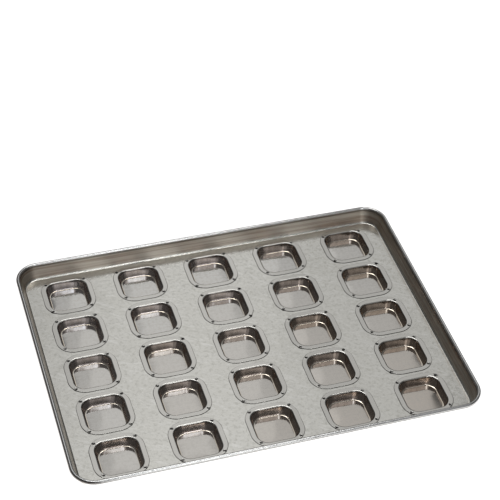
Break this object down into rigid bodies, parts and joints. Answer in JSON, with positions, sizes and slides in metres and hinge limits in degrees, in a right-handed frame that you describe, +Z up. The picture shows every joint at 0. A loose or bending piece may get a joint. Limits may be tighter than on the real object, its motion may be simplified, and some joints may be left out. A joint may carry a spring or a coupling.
{
  "type": "baking mould pan",
  "caption": "Rectangular sheet-metal baking pan with a rolled rim and shallow rounded-square mould cups hung through its floor by spot-welded flanges.",
  "frame": {"origin": "under the middle of the pan, on the plane of the undersides of the mould cups, on which it stands", "axes": "+X along the longer side of the pan, +Y along the shorter side towards the back row, +Z up out of the cups"},
  "size_m": [0.5318, 0.4008, 0.0343],
  "materials": {
    "pan_metal": "bright aluminised sheet steel, satin, with faint rolling marks and scuffs",
    "cup_metal": "bright aluminised sheet steel, pressed, smooth, slightly toned by heat",
    "wire_metal": "drawn steel wire"
  },
  "bodies": {
    "root": {"pan_sheet": "pan_metal", "rim_wire": "wire_metal", "mould_cup_r1_c1": "cup_metal", "mould_cup_r1_c2": "cup_metal", "mould_cup_r1_c3": "cup_metal", "mould_cup_r1_c4": "cup_metal", "mould_cup_r1_c5": "cup_metal", "mould_cup_r2_c1": "cup_metal", "mould_cup_r2_c2": "cup_metal", "mould_cup_r2_c3": "cup_metal", "mould_cup_r2_c4": "cup_metal", "mould_cup_r2_c5": "cup_metal", "mould_cup_r3_c1": "cup_metal", "mould_cup_r3_c2": "cup_metal", "mould_cup_r3_c3": "cup_metal", "mould_cup_r3_c4": "cup_metal", "mould_cup_r3_c5": "cup_metal", "mould_cup_r4_c1": "cup_metal", "mould_cup_r4_c2": "cup_metal", "mould_cup_r4_c3": "cup_metal", "mould_cup_r4_c4": "cup_metal", "mould_cup_r4_c5": "cup_metal", "mould_cup_r5_c1": "cup_metal", "mould_cup_r5_c2": "cup_metal", "mould_cup_r5_c3": "cup_metal", "mould_cup_r5_c4": "cup_metal", "mould_cup_r5_c5": "cup_metal"}
  },
  "joints": []
}
